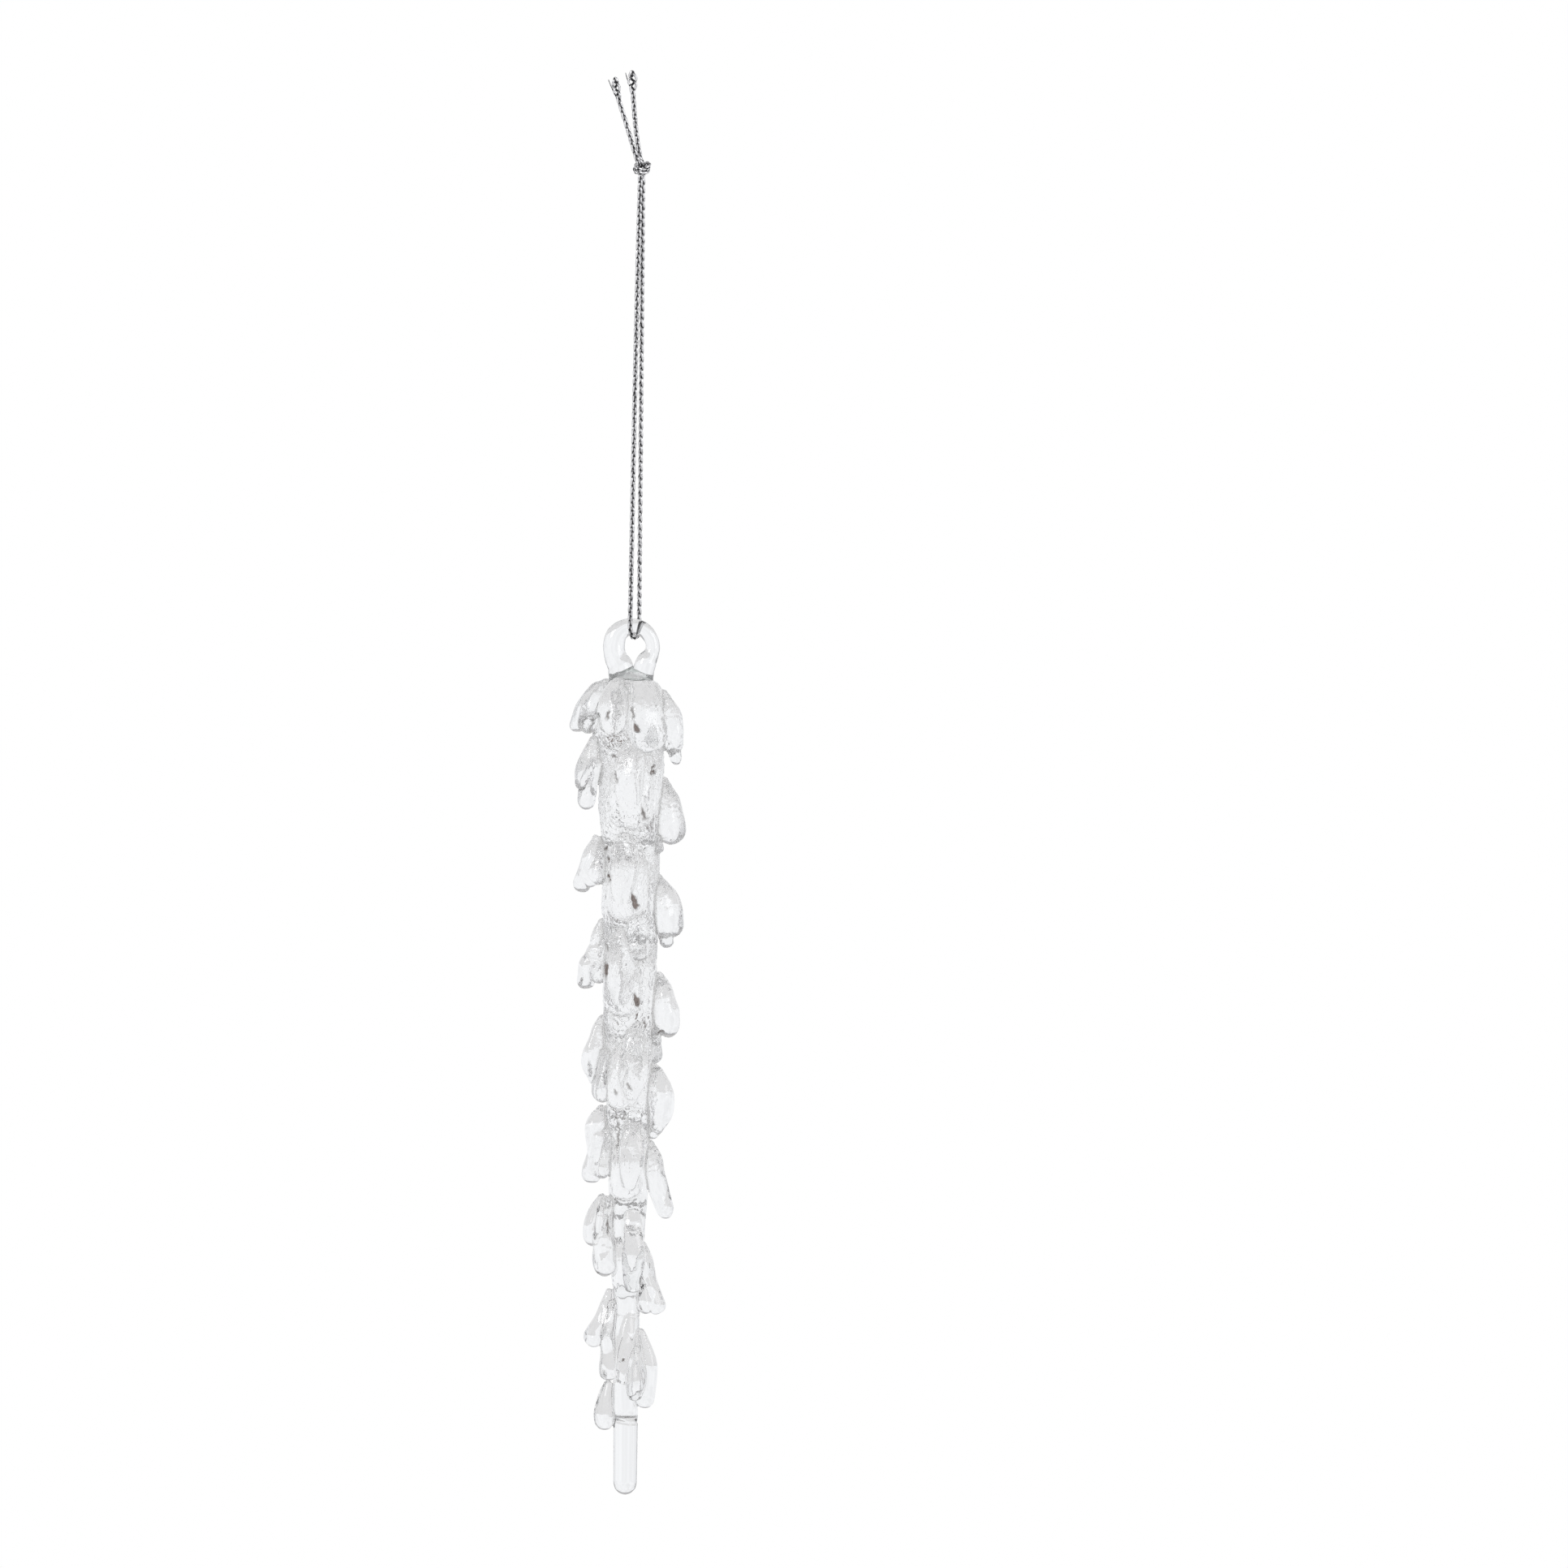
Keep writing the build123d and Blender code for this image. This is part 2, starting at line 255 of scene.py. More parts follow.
# Each petal of glass is a limb swelling along a few points: distance from the stem's axis, depth, radius.
# Azimuth is 0 at the right, 90 at the back, 180 at the left and 270 at the front.
PETALS = [
    (0, [(7.1, 3.2, 1.1), (8.4, 6.9, 2.4), (9.1, 11.5, 3.1), (9.5, 14.3, 2.6)]),
    (352, [(9.2, 14.5, 1.6), (10.0, 17.1, 1.5), (10.2, 18.2, 1.3)]),
    (2, [(7.4, 23.0, 0.9), (8.2, 27.3, 2.6), (8.7, 32.0, 3.35), (8.9, 34.2, 3.35)]),
    (340, [(6.6, 36.5, 1.2), (6.9, 38.6, 1.2)]),
    (358, [(6.6, 45.4, 0.9), (7.7, 48.7, 2.6), (8.6, 52.8, 3.3), (9.0, 55.8, 3.2)]),
    (350, [(8.0, 56.0, 1.8), (8.9, 59.9, 1.5)]),
    (0, [(6.9, 67.7, 0.9), (7.6, 71.0, 2.4), (8.2, 75.3, 3.3), (8.6, 78.5, 3.2)]),
    (345, [(6.4, 80.5, 1.3), (6.9, 83.0, 1.0)]),
    (356, [(5.8, 88.4, 0.9), (6.7, 91.5, 2.4), (7.4, 95.6, 3.2), (7.4, 99.0, 2.8), (6.5, 102.3, 2.0),
           (5.8, 103.8, 1.3)]),
    (3, [(4.9, 106.4, 1.1), (5.6, 110.1, 2.2), (6.2, 113.5, 2.4), (7.3, 117.6, 2.15), (8.4, 121.3, 2.15)]),
    (0, [(3.7, 129.6, 0.9), (4.3, 133.4, 1.7), (4.8, 137.6, 1.9), (5.8, 140.8, 2.05), (6.7, 143.2, 2.15)]),
    (350, [(3.4, 137.5, 1.6), (4.5, 142.7, 2.4)]),
    (358, [(3.2, 149.5, 0.9), (4.1, 152.9, 1.7), (4.8, 156.6, 2.2), (4.8, 160.3, 2.3), (4.3, 164.4, 2.4)]),
    (178, [(6.0, 1.4, 1.7), (7.6, 2.7, 2.2), (9.4, 5.0, 2.5), (11.3, 7.8, 2.4), (12.4, 10.3, 1.9)]),
    (196, [(6.4, 2.8, 2.0), (9.0, 6.8, 2.7), (10.4, 10.0, 2.2)]),
    (170, [(8.7, 13.8, 1.1), (9.5, 17.5, 2.2), (10.4, 21.8, 2.7), (10.8, 23.6, 2.3)]),
    (192, [(8.4, 19.5, 1.8), (9.8, 24.5, 2.0), (10.5, 27.9, 1.95)]),
    (181, [(7.8, 36.6, 1.1), (8.6, 39.8, 2.1), (9.9, 43.5, 2.3), (11.0, 46.5, 2.15)]),
    (190, [(6.6, 39.0, 1.8), (7.8, 44.4, 2.7)]),
    (185, [(8.4, 41.0, 2.2), (9.3, 45.2, 2.5)]),
    (180, [(6.4, 55.8, 1.3), (7.2, 59.5, 2.05), (7.9, 62.7, 1.9), (9.0, 65.8, 2.7), (10.0, 68.8, 2.15)]),
    (188, [(5.6, 60.0, 1.8), (6.7, 66.8, 2.7)]),
    (184, [(7.6, 62.0, 2.2), (8.3, 66.6, 2.6)]),
    (176, [(6.3, 77.6, 0.9), (7.3, 81.3, 1.9), (8.2, 85.4, 2.5), (8.2, 88.7, 2.6), (7.4, 90.8, 2.0)]),
    (204, [(5.4, 86.0, 1.6), (6.3, 91.6, 2.3), (6.4, 94.3, 2.4)]),
    (180, [(6.3, 98.2, 1.1), (7.3, 101.7, 2.4), (7.3, 104.5, 2.2), (7.1, 108.3, 2.05), (8.2, 111.6, 2.1),
           (8.2, 113.1, 2.2)]),
    (196, [(5.0, 104.0, 1.7), (5.9, 111.8, 2.3)]),
    (188, [(6.4, 105.0, 2.2), (7.1, 111.6, 2.4)]),
    (174, [(5.9, 119.0, 1.1), (7.0, 121.6, 1.7), (7.9, 124.6, 1.95), (8.1, 127.8, 1.95)]),
    (200, [(4.6, 119.5, 1.5), (5.7, 125.0, 2.0), (5.6, 129.5, 2.3), (5.6, 132.6, 2.5), (5.3, 133.9, 2.5)]),
    (188, [(5.8, 121.5, 1.6), (6.5, 126.4, 1.9)]),
    (181, [(4.1, 140.2, 0.9), (4.8, 144.0, 1.5), (6.1, 147.7, 2.0), (7.4, 150.7, 2.3)]),
    (200, [(3.4, 143.0, 1.2), (4.8, 149.2, 1.7), (4.6, 153.4, 1.4), (4.4, 157.0, 1.8), (4.2, 158.5, 1.9)]),
    (189, [(4.4, 144.5, 1.5), (5.8, 149.6, 1.9)]),
    (182, [(4.1, 161.5, 1.1), (4.7, 164.4, 1.7), (5.0, 167.8, 2.2), (4.8, 169.6, 2.3)]),
    (244, [(5.6, 1.2, 1.5), (7.7, 4.0, 2.5), (8.6, 8.0, 3.0), (8.9, 10.2, 2.6)]),
    (297, [(5.8, 2.0, 1.6), (7.7, 6.0, 2.8), (8.4, 11.0, 3.4), (8.5, 13.6, 3.1)]),
    (275, [(5.2, 16.0, 2.4), (5.9, 21.0, 3.4), (6.0, 26.5, 3.9), (5.9, 30.6, 3.9)]),
    (270, [(6.8, 15.0, 1.5), (7.9, 18.8, 2.6), (8.5, 23.5, 2.6), (8.7, 27.6, 2.0), (8.6, 29.2, 1.5)]),
    (262, [(4.6, 37.5, 2.2), (5.3, 42.5, 3.2), (5.4, 47.5, 3.6), (5.3, 51.4, 3.6)]),
    (260, [(6.0, 35.5, 1.3), (7.2, 39.5, 2.4), (7.9, 45.0, 2.5), (8.3, 48.8, 1.9), (8.3, 50.3, 1.4)]),
    (256, [(4.4, 60.0, 2.0), (5.0, 65.0, 3.0), (5.1, 70.0, 3.4), (4.9, 73.5, 3.4)]),
    (259, [(5.7, 57.5, 1.3), (6.9, 62.5, 2.4), (7.6, 68.0, 2.5), (7.9, 71.2, 2.0), (7.9, 72.7, 1.5)]),
    (288, [(5.6, 52.5, 1.2), (6.5, 56.5, 2.0), (6.8, 62.0, 2.1)]),
    (250, [(3.6, 82.0, 1.8), (4.3, 87.0, 2.7), (4.5, 91.5, 3.0), (4.4, 94.9, 3.0)]),
    (280, [(5.0, 79.0, 1.3), (6.2, 84.5, 2.4), (6.9, 90.5, 2.5), (7.1, 93.2, 1.9), (7.0, 94.6, 1.4)]),
    (266, [(2.6, 103.0, 1.6), (3.7, 109.0, 2.3), (4.0, 113.0, 2.6), (3.9, 116.2, 2.6)]),
    (277, [(4.5, 99.5, 1.2), (5.7, 104.5, 2.2), (6.3, 110.0, 2.2), (6.5, 113.6, 1.7), (6.4, 115.0, 1.4)]),
    (286, [(2.8, 120.0, 1.2), (4.9, 126.5, 1.9), (5.7, 132.0, 2.0), (5.8, 136.4, 1.7), (5.7, 138.6, 1.3)]),
    (262, [(1.7, 144.0, 1.0), (3.6, 150.0, 1.5), (4.3, 155.5, 1.5), (4.4, 159.5, 1.4)]),
    (297, [(1.7, 148.0, 1.0), (3.8, 154.0, 1.6), (4.6, 158.8, 1.9), (4.6, 161.2, 1.9), (4.6, 163.2, 1.4)]),
    (90, [(6.0, 1.6, 1.5), (7.9, 5.5, 2.8), (8.6, 10.5, 3.3), (8.7, 12.8, 2.9)]),
    (135, [(6.6, 5.0, 1.5), (8.3, 9.5, 2.4), (9.2, 14.0, 2.5)]),
    (78, [(7.0, 17.0, 1.3), (7.9, 21.5, 2.4), (8.4, 26.0, 2.9), (8.6, 30.2, 2.4), (8.5, 32.0, 1.6)]),
    (102, [(5.2, 19.0, 2.2), (5.8, 25.5, 3.3), (5.9, 31.0, 3.8), (5.8, 34.4, 3.8)]),
    (96, [(6.1, 40.5, 1.3), (7.3, 45.0, 2.5), (7.8, 50.5, 2.8), (8.0, 54.6, 2.2)]),
    (80, [(4.7, 43.0, 2.0), (5.2, 49.0, 3.1), (5.2, 54.0, 3.5), (5.1, 57.2, 3.4)]),
    (85, [(5.6, 62.0, 1.2), (6.8, 65.5, 2.2), (7.4, 71.5, 2.6), (7.6, 75.8, 1.9), (7.6, 77.4, 1.4)]),
    (104, [(4.2, 66.0, 2.0), (4.8, 71.0, 2.9), (4.9, 76.0, 3.2), (4.8, 79.0, 3.2)]),
    (94, [(5.2, 84.0, 1.2), (6.2, 88.5, 2.2), (6.8, 93.5, 2.5), (7.0, 97.6, 2.2)]),
    (50, [(5.8, 76.0, 1.2), (6.9, 81.0, 2.1), (7.3, 86.0, 2.2)]),
    (83, [(3.6, 88.0, 1.7), (4.2, 93.0, 2.5), (4.3, 97.5, 2.8), (4.2, 100.4, 2.8)]),
    (88, [(4.4, 104.5, 1.2), (5.5, 109.0, 2.1), (6.1, 114.5, 2.3), (6.3, 118.8, 1.7)]),
    (99, [(2.6, 108.0, 1.5), (3.6, 114.0, 2.2), (3.8, 118.0, 2.4), (3.7, 121.0, 2.4)]),
    (93, [(2.4, 126.0, 1.2), (4.6, 131.0, 1.8), (5.4, 136.5, 2.1), (5.5, 140.4, 1.7)]),
    (97, [(1.6, 150.0, 1.0), (3.6, 157.0, 1.6), (4.2, 163.0, 1.9), (4.2, 167.7, 1.9)])]
JOIN_DEPTHS = (64.5, 129.6, 145.5, 169.6)      # where one gather of glass ends on the next
PETAL_SPREAD = 1.3              # petals are broader round the stem than they are thick
PETAL_SIDES = 32
FACET = 0.075                   # how far a petal's section is from round
# Pits pressed into the creases and painted dark as shade: x, depth, half width, half length, lean, strength.
FRONT_PITS = [
    (0.5, 7.4, 0.45, 1.5, 0.1, 0.75), (-5.1, 8.4, 0.4, 1.5, -0.2, 0.8), (1.3, 10.9, 0.75, 1.6, 0.3, 1.0),
    (-3.9, 17.6, 0.8, 0.4, 0.8, 0.8), (5.1, 20.7, 0.4, 1.2, -0.1, 0.9), (-3.4, 22.2, 0.35, 1.6, 0.15, 0.7),
    (3.3, 30.7, 0.75, 2.0, 0.25, 0.8), (-5.6, 38.2, 0.35, 0.8, 0.1, 0.8), (-4.9, 40.9, 0.5, 1.0, 0.1, 1.0),
    (-4.8, 45.0, 0.5, 1.0, 0.1, 0.9), (1.5, 50.8, 0.8, 2.0, 0.2, 1.0), (-5.2, 60.8, 0.4, 1.3, 0.0, 0.7),
    (-5.4, 65.8, 0.6, 2.3, 0.0, 1.0), (2.0, 73.0, 0.75, 1.7, 0.3, 1.0), (7.3, 80.7, 0.9, 0.5, -0.3, 0.8),
    (0.3, 92.5, 0.5, 1.2, 0.5, 0.75), (-2.6, 94.1, 0.6, 1.0, 0.4, 0.75), (-2.2, 103.6, 0.35, 3.6, 0.0, 0.7),
    (-4.2, 124.6, 0.4, 2.6, 0.08, 0.8), (-0.4, 155.2, 0.5, 0.6, 0, 0.9)]
BACK_PITS = [
    (-1.4, 13.4, 0.75, 1.6, 0.2, 1.0), (4.8, 22.0, 0.45, 1.2, 0.0, 0.8), (2.1, 33.6, 0.7, 1.9, 0.3, 1.0),
    (4.4, 48.0, 0.4, 1.0, 0.1, 0.8), (-2.4, 56.0, 0.75, 1.7, -0.2, 1.0), (1.6, 78.3, 0.7, 1.8, 0.2, 1.0),
    (-1.8, 99.0, 0.6, 1.5, 0.2, 0.9), (1.7, 120.0, 0.5, 1.4, 0.1, 0.8)]


def through(points, count):
    """A smooth row of values through every given one."""
    p = np.array(points, float)
    p = np.vstack([2 * p[0] - p[1], p, 2 * p[-1] - p[-2]])
    out = []
    for i in range(1, len(p) - 2):
        for t in np.linspace(0, 1, count, endpoint=False):
            out.append(0.5 * (2 * p[i] + (p[i + 1] - p[i - 1]) * t
                              + (2 * p[i - 1] - 5 * p[i] + 4 * p[i + 1] - p[i + 2]) * t * t
                              + (3 * p[i] - p[i - 1] - 3 * p[i + 1] + p[i + 2]) * t ** 3))
    return np.array(out + [p[-2]])


def stem_mesh():
    depth = np.concatenate([np.arange(0, 184, 0.8), np.linspace(184, 186.7, 9)])
    radius = np.interp(depth, stem_depths, stem_radii)
    line = np.stack([depth * 0, depth * 0, -depth], 1)
    return tube(line, radius, 48)


def petal_mesh(azimuth, limb):
    """A limb with round ends that follows the given points, turned to its azimuth."""
    tip_depth = limb[-1][1]
    limb = through(limb, 8)
    lean = 1.1 * sin(2.1 * azimuth + 0.7 * tip_depth) * sin(radians(azimuth)) ** 2
    line = np.stack([limb[:, 0], lean * np.linspace(1, 0, len(limb)) ** 2, -limb[:, 1]], 1)
    radius = limb[:, 2]
    cap = np.linspace(0.12, pi / 2, 7)
    first = (line[0] - line[1]) / np.linalg.norm(line[0] - line[1])
    last = (line[-1] - line[-2]) / np.linalg.norm(line[-1] - line[-2])
    head = line[0] + first * (radius[0] * np.cos(cap))[:, None]
    tail = (line[-1] + last * (radius[-1] * np.cos(cap))[:, None])[::-1]
    line = np.vstack([head[:-1], line, tail[1:]])
    radius = np.concatenate([(radius[0] * np.sin(cap))[:-1], radius, (radius[-1] * np.sin(cap))[::-1][1:]])
    # the section is a soft triangle that turns along the petal, as drawn glass does
    sides = np.arange(PETAL_SIDES) * 2 * pi / PETAL_SIDES
    twist = azimuth + tip_depth + np.linspace(0, 1.4, len(line))
    verts, faces = tube(line, radius, PETAL_SIDES)
    facets = 1 + FACET * np.cos(3 * sides[None, :] - twist[:, None])
    middle = np.repeat(line, PETAL_SIDES, 0)
    verts = middle + (verts - middle) * facets.reshape(-1, 1)
    verts[:, 1] *= PETAL_SPREAD
    turn = np.array(Matrix.Rotation(radians(azimuth), 3, "Z"))
    return verts @ turn.T, faces


def melt(obj, voxel, rounds):
    """Fuse overlapping closed shapes into one skin and round its corners."""
    remesh = obj.modifiers.new("fuse", "REMESH")
    remesh.mode = "VOXEL"
    remesh.voxel_size = voxel
    remesh.use_smooth_shade = True
    smooth = obj.modifiers.new("round", "SMOOTH")
    smooth.factor = 0.5
    smooth.iterations = rounds
    bpy.context.view_layer.update()
    skin = bpy.data.meshes.new_from_object(obj.evaluated_get(bpy.context.evaluated_depsgraph_get()))
    obj.modifiers.clear()
    obj.data = skin
    return skin


def read_rows(items, attribute, width, kind=float):
    """A property of every vertex or edge of a mesh, one row each."""
    values = np.empty(len(items) * width, kind)
    items.foreach_get(attribute, values)
    return values.reshape(-1, width)


body = add_mesh("icicle_glass", *gather([stem_mesh()] + [petal_mesh(*p) for p in PETALS]))
fused = melt(body, 0.22, 8)
co = read_rows(fused.vertices, "co", 3)
nor = read_rows(fused.vertices, "normal", 3)
edges = read_rows(fused.edges, "vertices", 2, np.int32)
links_at = np.bincount(edges.ravel(), minlength=len(co))


def neighbours(values):
    """The mean of a value over the points that share an edge with each point."""
    total = np.bincount(edges[:, 0], values[edges[:, 1]], len(co))
    total += np.bincount(edges[:, 1], values[edges[:, 0]], len(co))
    return total / links_at


HOLLOW = 0.010                  # how far its neighbours stand above a point in the sharpest valleys
SUGAR_END = 130                 # depth where the sugar texture has faded out
KNOB, WRINKLE, SOFT_KNOB = 0.13, 0.17, 0.06
GROOVE, GROOVE_W = 0.18, 0.32   # the shallow line where two gathers join
PIT = 0.35


def noise_at(points, scale, offset=(0, 0, 0)):
    return np.array([noise.noise(Vector(p * scale) + Vector(offset)) for p in points])


# how hollow the skin is at each point: 1 along the valleys where petals meet each other or the stem
valley = sum((neighbours(co[:, k]) - co[:, k]) * nor[:, k] for k in range(3))
for _ in range(2):
    valley = neighbours(valley)
valley = np.clip(valley / HOLLOW, 0, 1)

depth = -co[:, 2]
out = np.hypot(co[:, 0], co[:, 1]) - np.interp(depth, stem_depths, stem_radii)
azimuths = np.arctan2(co[:, 1], co[:, 0])
standing = np.clip((out - 0.6) / 2.2, 0, 1)            # 0 on the stem, 1 out on the petals
sugar = np.clip((SUGAR_END - depth) / 38, 0.03, 1) * np.clip((depth - 1) / 6, 0.25, 1)
sugar *= 1 - standing * (0.6 + 0.3 * np.cos(azimuths) ** 2)
wrinkle = noise_at(co, np.array((0.62, 0.62, 0.5)))
knobs = noise_at(co, 1.15, (7, 3, 1))
broad = noise_at(co, np.array((0.36, 0.36, 0.2)))
shift = (KNOB * knobs - WRINKLE * np.exp(-(wrinkle / 0.06) ** 2)) * sugar
shift += SOFT_KNOB * knobs * (1 - 0.85 * standing) * np.clip((150 - depth) / 12, 0, 1)
shift += (0.3 + 0.15 * standing) * broad * np.clip(1 - (depth - 150) / 20, 0.1, 1)
shift -= 0.30 * valley * (1 - 0.8 * standing) * (depth > 3)
for join in JOIN_DEPTHS:
    below = depth - join - 0.45 * np.cos(azimuths + 0.3 * join)
    shift -= GROOVE * np.exp(-(below / GROOVE_W) ** 2) * np.clip(1 - out, 0, 1)
# painted shade: grey in the creases, and near black in pits pressed in beside the petals' tips, each pit
# wider at its foot than at its head
painted_shade = 0.30 * valley * (1 - 0.4 * standing) * np.clip((155 - depth) / 40, 0.2, 1)
for pits, on_side in ((FRONT_PITS, co[:, 1] < 0), (BACK_PITS, co[:, 1] > 0)):
    for x, d, half_w, half_l, lean, strength in pits:
        width = half_w * (1 + 0.35 * (depth - d) / half_l).clip(0.3, 2)
        across = (co[:, 0] - x - lean * (depth - d) + 0.5 * knobs) / width
        down = (depth - d + 0.8 * wrinkle) / half_l
        spot = strength * np.exp(-(across ** 2 + down ** 2) ** 3) * on_side
        painted_shade = np.maximum(painted_shade, spot)
        shift -= PIT * spot
co = co + nor * shift[:, None]
fused.vertices.foreach_set("co", co.reshape(-1))
# the sugar mask, and the mask of painted shade for the creases and pits
for mask_name, values in (("sugar", sugar), ("painted_shade", painted_shade)):
    mask = fused.attributes.new(mask_name, "FLOAT", "POINT")
    mask.data.foreach_set("value", values.astype(np.float32))
body.data.transform(Matrix.Scale(MM, 4))
body.data.transform(HUNG)
body.data.polygons.foreach_set("use_smooth", [True] * len(body.data.polygons))
body.data.update()

# the eye: a tapered rod bent over, its two feet pressed side by side into the weld (x, rise, radius)
EYE_ROD = [(-2.2, -0.7, 3.0), (-2.4, 1.0, 3.0), (-2.75, 3.0, 2.95), (-3.6, 4.6, 2.65), (-4.1, 6.2, 2.5),
           (-4.25, 8.0, 2.5), (-3.65, 10.3, 2.35), (-1.9, 11.8, 2.05), (0.5, 12.15, 1.9), (2.75, 11.3, 1.75),
           (4.25, 9.4, 1.6), (4.65, 7.6, 1.62), (4.28, 6.0, 1.78), (3.3, 4.3, 2.35), (2.68, 2.6, 2.45),
           (2.6, 1.0, 2.3), (2.6, -0.7, 2.2)]
rod = through(EYE_ROD, 12)
line = np.stack([rod[:, 0], rod[:, 0] * 0, rod[:, 1]], 1)
eye = add_mesh("eye_glass", *tube(line, rod[:, 2], 48, side=(0, 1, 0)))
eye.data.transform(Matrix.Scale(MM, 4))
eye.data.transform(HUNG)

# the weld: a pad of glass with drawn folds under the feet, and a fold pulled up between them
levels = np.linspace(-0.8, 1.9, 28)
bulge = np.interp(levels, [-0.8, -0.4, 0.0, 0.5, 1.0, 1.5, 1.9], [0.6, 1.0, 0.98, 0.9, 0.78, 0.55, 0.1])
pad, ring_count = [], 96
for h, k in zip(levels, bulge):
    mix = np.clip((h + 0.5) / 2.2, 0, 1)
    for a in np.arange(ring_count) * 2 * pi / ring_count:
        fold = 0.22 * noise.noise(Vector((1.1 * cos(a), 1.1 * sin(a), 1.6 * h)))
        fold += 0.12 * noise.noise(Vector((5 * cos(a), 5 * sin(a), 3.5 * h)))
        rise = 0.45 * noise.noise(Vector((1.7 * cos(a) + 5, 1.7 * sin(a), 0)))
        pad.append((-0.5 * mix + (5.0 * k + fold) * cos(a), ((5.0 - 1.4 * mix) * k + fold) * sin(a),
                    h + rise * mix))
folds = [(np.array(pad), ring_faces(len(levels), ring_count))]
for route in ([(-3.4, -2.2, 0.7, 0.6), (-1.6, -2.1, 1.5, 0.75), (-0.3, -1.2, 2.4, 0.6),
               (-0.2, -0.5, 2.95, 0.3)],
              [(-0.3, -1.2, 2.3, 0.6), (1.1, -2.0, 1.4, 0.8), (3.2, -2.0, 0.7, 0.6)],
              [(-3.0, 2.2, 0.7, 0.7), (-1.2, 2.0, 1.5, 0.75), (-0.2, 1.0, 2.4, 0.6), (-0.2, 0.4, 2.9, 0.3)],
              [(-0.2, 1.0, 2.3, 0.6), (1.4, 2.0, 1.3, 0.8), (3.4, 1.9, 0.6, 0.6)],
              [(-4.2, -1.2, 0.6, 0.6), (-4.4, 0.2, 0.8, 0.7), (-4.0, 1.4, 0.6, 0.6)]):
    drawn = through(route, 10)
    folds.append(tube(drawn[:, :3], drawn[:, 3], 20, side=(0.1, 0.2, 1)))
weld = add_mesh("weld_glass", *gather(folds))
melt(weld, 0.12, 5)
weld.data.transform(Matrix.Scale(MM, 4))
weld.data.transform(HUNG)


# ------------------------------------------------------------------ materials
GLASS_IOR = 1.49
CLEAR = (0.985, 0.99, 0.99)
# painted shade for the glass: grey in the creases, brown-black in the pits
PAINTED_CREASE_SHADE = (0.78, 0.78, 0.77, 1)
PAINTED_PIT_SHADE = (0.055, 0.038, 0.032, 1)


def material(name):
    mat = bpy.data.materials.new(name)
    mat.use_nodes = True
    nodes, links = mat.node_tree.nodes, mat.node_tree.links
    return mat, nodes, links, nodes["Principled BSDF"]


def glass(name, tint, roughness, grain=0.0, streak=0.3):
    """Glass with drawn ripples. With grain it is sugared where the "sugar" mask says so, and carries painted
    shade from its shade mask, grey in the creases and brown-black in the pits.
    """
    mat, nodes, links, shader = material(name)
    shader.inputs["Base Color"].default_value = (*tint, 1)
    if grain:
        # painted shade: the mask turns the tint grey in the creases and brown-black in the pits
        painted_shade = nodes.new("ShaderNodeAttribute")
        painted_shade.attribute_name = "painted_shade"
        darken = nodes.new("ShaderNodeValToRGB")
        darken.color_ramp.elements[0].position = 0.0
        darken.color_ramp.elements[0].color = (*tint, 1)
        darken.color_ramp.elements[1].position = 0.85
        darken.color_ramp.elements[1].color = PAINTED_PIT_SHADE
        darken.color_ramp.elements.new(0.30).color = PAINTED_CREASE_SHADE
        links.new(painted_shade.outputs["Fac"], darken.inputs["Fac"])
        links.new(darken.outputs["Color"], shader.inputs["Base Color"])
    shader.inputs["Transmission Weight"].default_value = 1
    shader.inputs["Roughness"].default_value = roughness
    shader.inputs["IOR"].default_value = GLASS_IOR
    where = nodes.new("ShaderNodeTexCoord")
    stretch = nodes.new("ShaderNodeMapping")
    stretch.inputs["Scale"].default_value = (1, 1, streak)
    links.new(where.outputs["Object"], stretch.inputs["Vector"])
    ripples = nodes.new("ShaderNodeTexNoise")
    ripples.inputs["Scale"].default_value = 260
    ripples.inputs["Detail"].default_value = 1.5
    links.new(stretch.outputs["Vector"], ripples.inputs["Vector"])
    soft = nodes.new("ShaderNodeBump")
    soft.inputs["Strength"].default_value = 0.25
    soft.inputs["Distance"].default_value = 0.0004
    links.new(ripples.outputs["Fac"], soft.inputs["Height"])
    last = soft
    if grain:
        frit = nodes.new("ShaderNodeTexNoise")
        frit.inputs["Scale"].default_value = 620
        frit.inputs["Detail"].default_value = 1.2
        links.new(where.outputs["Object"], frit.inputs["Vector"])
        from_crease = nodes.new("ShaderNodeMath")
        from_crease.operation = "SUBTRACT"
        from_crease.inputs[1].default_value = 0.5
        links.new(frit.outputs["Fac"], from_crease.inputs[0])
        away = nodes.new("ShaderNodeMath")
        away.operation = "ABSOLUTE"
        links.new(from_crease.outputs["Value"], away.inputs[0])
        crease = nodes.new("ShaderNodeMapRange")
        crease.interpolation_type = "SMOOTHSTEP"
        crease.inputs["From Max"].default_value = 0.045
        links.new(away.outputs["Value"], crease.inputs["Value"])
        mask = nodes.new("ShaderNodeAttribute")
        mask.attribute_name = "sugar"
        weigh = nodes.new("ShaderNodeMath")
        weigh.operation = "MULTIPLY"
        links.new(crease.outputs["Result"], weigh.inputs[0])
        links.new(mask.outputs["Fac"], weigh.inputs[1])
        last = nodes.new("ShaderNodeBump")
        last.inputs["Strength"].default_value = grain
        last.inputs["Distance"].default_value = 0.00009
        links.new(weigh.outputs["Value"], last.inputs["Height"])
        links.new(soft.outputs["Normal"], last.inputs["Normal"])
    links.new(last.outputs["Normal"], shader.inputs["Normal"])
    return mat


